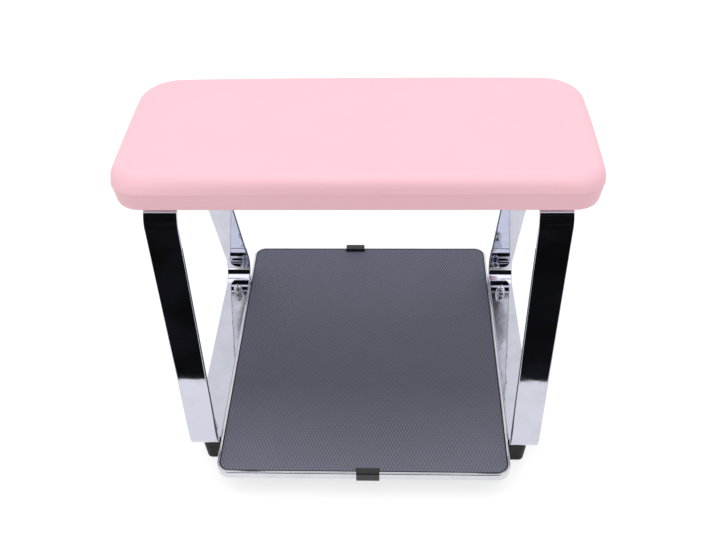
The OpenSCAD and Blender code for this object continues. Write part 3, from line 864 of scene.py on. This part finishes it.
def world():
    made = bpy.data.worlds.new("Studio")
    bpy.context.scene.world = made
    made.use_nodes = True
    tree = made.node_tree
    tree.nodes.clear()
    seen = node(tree, "ShaderNodeBackground", Color=(1, 1, 1, 1), Strength=1.0)
    other = node(tree, "ShaderNodeBackground", Color=(1, 1, 1, 1), Strength=WORLD_LEVEL)
    out = node(tree, "ShaderNodeOutputWorld")
    tree.links.new(light_path_mix(tree, seen, other).outputs[0], out.inputs["Surface"])


def sheet(name, corners, material):
    made = mesh_object(name, corners, [(0, 1, 2, 3)])
    made.data.materials.append(material)
    return made


def floor():
    material, tree = bare_material("pale_floor")
    matt = node(tree, "ShaderNodeBsdfDiffuse", Color=(FLOOR_MATT, FLOOR_MATT, FLOOR_MATT, 1))
    shade = node(tree, "ShaderNodeBsdfDiffuse", Color=(FLOOR_SHADE, FLOOR_SHADE, FLOOR_SHADE, 1))
    glow = node(tree, "ShaderNodeEmission", Color=(1, 1, 1, 1), Strength=FLOOR_GLOW)
    bright = node(tree, "ShaderNodeAddShader")
    tree.links.new(shade.outputs[0], bright.inputs[0])
    tree.links.new(glow.outputs[0], bright.inputs[1])
    out = node(tree, "ShaderNodeOutputMaterial")
    tree.links.new(light_path_mix(tree, bright, matt).outputs[0], out.inputs["Surface"])
    half = FLOOR_HALF
    sheet("floor", [(-half, -half, 0), (half, -half, 0), (half, half, 0), (-half, half, 0)], material)


def glow_material(name, colour, strength):
    material, tree = bare_material(name)
    glow = node(tree, "ShaderNodeEmission", Color=(*colour, 1), Strength=strength)
    out = node(tree, "ShaderNodeOutputMaterial")
    tree.links.new(glow.outputs[0], out.inputs["Surface"])
    return material


def dark_material():
    """A room that is dark but not even: its gloom varies a little from place to place."""
    material = glow_material("dark_room", (1, 1, 1), 1.0)
    tree = material.node_tree
    stops = [(0.42, (0.0055, 0.0055, 0.0058)), (0.66, (0.0120, 0.0120, 0.0160))]
    tree.links.new(ramp(tree, noise(tree, 9, 3), stops), tree.nodes["Emission"].inputs["Color"])
    return material


def one_sided(tree, glow, from_below):
    """Lets the glow be seen from one side of a card only; the card is clear from its other side."""
    clear = node(tree, "ShaderNodeBsdfTransparent")
    behind = node(tree, "ShaderNodeNewGeometry").outputs["Backfacing"]
    out = node(tree, "ShaderNodeOutputMaterial")
    pair = (clear, glow) if from_below else (glow, clear)
    tree.links.new(mix_shaders(tree, behind, *pair).outputs[0], out.inputs["Surface"])


def screen_material(name, start, width, slant):
    """A pale screen that glows on its underside only, dim along its inner edge, and dimmer in front."""
    material, tree = bare_material(name)
    aside = math_node(tree, "ABSOLUTE", axis(tree, "X"))
    aside = math_node(tree, "ADD", aside, math_node(tree, "MULTIPLY", axis(tree, "Y"), slant))
    out_share = spread(tree, aside, 0, 1, start, start + width)
    dim = spread(tree, axis(tree, "Y"), *DIM_LEVELS, *DIM_Y)
    glow = node(tree, "ShaderNodeEmission", Color=SCREEN_TINT)
    rise = math_node(tree, "MULTIPLY", out_share, math_node(tree, "SUBTRACT", BOX_LEVEL, dim))
    tree.links.new(math_node(tree, "ADD", dim, rise), glow.inputs["Strength"])
    one_sided(tree, glow, True)
    return material


def visor_material():
    """Keeps the far screens out of what the front legs' tops mirror; it is clear from below."""
    material, tree = bare_material("visor")
    one_sided(tree, node(tree, "ShaderNodeEmission", Color=(0.006, 0.006, 0.006, 1)), False)
    return material


def card(name, left, right, low, high, material):
    """Part of the studio that only reflections see: a sheet from (y, z) low to (y, z) high."""
    made = sheet(name, [(left, *low), (right, *low), (right, *high), (left, *high)], material)
    made.visible_camera = made.visible_diffuse = made.visible_shadow = made.visible_transmission = False


def studio_cards():
    """A dark room in front of the pale table, pale screens beside the footrest, and soft boxes overhead."""
    dark = dark_material()
    box = glow_material("soft_box", (1, 1, 1), BOX_LEVEL)
    card("dark_floor", -ROOM_HALF, ROOM_HALF, (ROOM_Y, ROOM_FLOOR_Z), (TABLE_EDGE_Y, ROOM_FLOOR_Z), dark)
    card("dark_wall", -ROOM_HALF, ROOM_HALF, (ROOM_Y, 0), (ROOM_Y, ROOM_TOP), dark)
    left = screen_material("left_screen", *LEFT_EDGE)
    right = screen_material("right_screen", *RIGHT_EDGE)
    for name, ends in (("low", LOW_SCREEN), ("far", FAR_SCREEN)):
        card(name + "_left_screen", -SCREEN_OUTER, -SCREEN_INNER, *ends, left)
        card(name + "_right_screen", SCREEN_INNER, SCREEN_OUTER, *ends, right)
    card("visor", -SCREEN_OUTER, SCREEN_OUTER, *VISOR, visor_material())
    for name, near, far, material in (
        ("soft_box", -0.20, 0.60, box),
        ("front_soft_box", -1.30, -0.35, box),
        ("front_bar", -0.33, -0.20, dark),
    ):
        card(name, -BOX_HALF, BOX_HALF, (near, BOX_Z), (far, BOX_Z), material)


def sun(name, strength, angle, direction):
    data = bpy.data.lights.new(name, "SUN")
    data.energy = strength
    data.angle = math.radians(angle)
    made = bpy.data.objects.new(name, data)
    bpy.context.scene.collection.objects.link(made)
    made.rotation_mode = "QUATERNION"
    made.rotation_quaternion = Vector(direction).to_track_quat("-Z", "Y")
    made.visible_glossy = False


def metals():
    stain = (0.42, 0.39, 0.37)
    return (
        metal("chrome", (0.53, 0.54, 0.605), (0.585, 0.60, 0.685), (0.03, 0.075), 0.12 * MM, stain),
        metal("bright_trim", (0.60, 0.61, 0.65), (0.67, 0.68, 0.73), (0.10, 0.17), 0.05 * MM),
        metal("nut_chrome", (0.50, 0.51, 0.54), (0.66, 0.67, 0.72), (0.06, 0.12), 0.02 * MM),
        metal("zinc_steel", (0.42, 0.42, 0.43), (0.56, 0.56, 0.57), (0.28, 0.42), 0.03 * MM),
    )


def plastics():
    foot = ((0.004, 0.004, 0.004), (0.009, 0.009, 0.009))
    clips = ((0.008, 0.008, 0.010), (0.012, 0.012, 0.014))
    return (
        plastic("foot_rubber", *foot, (0.42, 0.55), 1300, 0.04 * MM, 0.21),
        plastic("clip_plastic", *clips, (0.09, 0.15), 900, 0.002 * MM),
    )


def dress_carried(materials):
    """Gives each CAD node that stays its own material."""
    for material, names in materials:
        for name in names:
            slots = frame["nodes"][name].data.materials
            slots.clear()
            slots.append(material)


def build():
    chrome, bright, nut_chrome, zinc = metals()
    rubber, clip_black = plastics()
    board = wood_material("panel_board", (0.016, 0.015, 0.014), (0.032, 0.030, 0.028))
    plywood = wood_material("plywood", (0.42, 0.27, 0.14), (0.62, 0.44, 0.26))
    right_front, right_rear, left_front, left_rear = trim_ends()

    place(frame_bar("left_frame_bar", -1), chrome, "frame_chrome", "side_frame_left")
    place(frame_bar("right_frame_bar", 1), chrome, "frame_chrome", "side_frame_right")
    place(edge_trim("right_edge_trim", right_front, right_rear, 1), bright, "trim_bright", "edge_trim_right")
    place(edge_trim("left_edge_trim", -left_rear, -left_front, -1), bright, "trim_bright", "edge_trim_left")
    front_clip = clip("front_clip", "clip_front", -1, CLIP_T, CLIP_REACH)
    place(front_clip, clip_black, "clip_black", "clip_front")
    rear_clip = clip("rear_clip", "clip_rear", 1, REAR_CLIP_T, REAR_CLIP_REACH)
    place(rear_clip, clip_black, "clip_black", "clip_rear")
    place(deck_mat("grained_mat"), mat_material(), "mat_grey", "deck_mat")
    place(dome_nuts("domed_nuts"), nut_chrome, "nut_chrome", "dome_nuts")
    pad = place(foot_pad("leatherette_pad"), leather_material(), "pad_pink", "pad_cover", "pad_foam")
    dress_carried((
        (rubber, ("foot_front_left", "foot_front_right", "foot_rear_left", "foot_rear_right")),
        (zinc, ("foot_bolts", "foot_bolt_washers", "deck_screws", "cover_staples")),
        (zinc, ("tee_nuts", "pad_bolts", "pad_washers")),
        (nut_chrome, ("frame_washers",)),
        (board, ("deck_panel",)),
        (plywood, ("pad_board",)),
        (cloth_material(), ("pad_underside_cloth",)),
    ))


camera()
world()
floor()
studio_cards()
sun("overhead_light", SUN_LEVEL, SUN_ANGLE, SUN_DIRECTION)
build()
bpy.context.scene.view_settings.view_transform = "Standard"
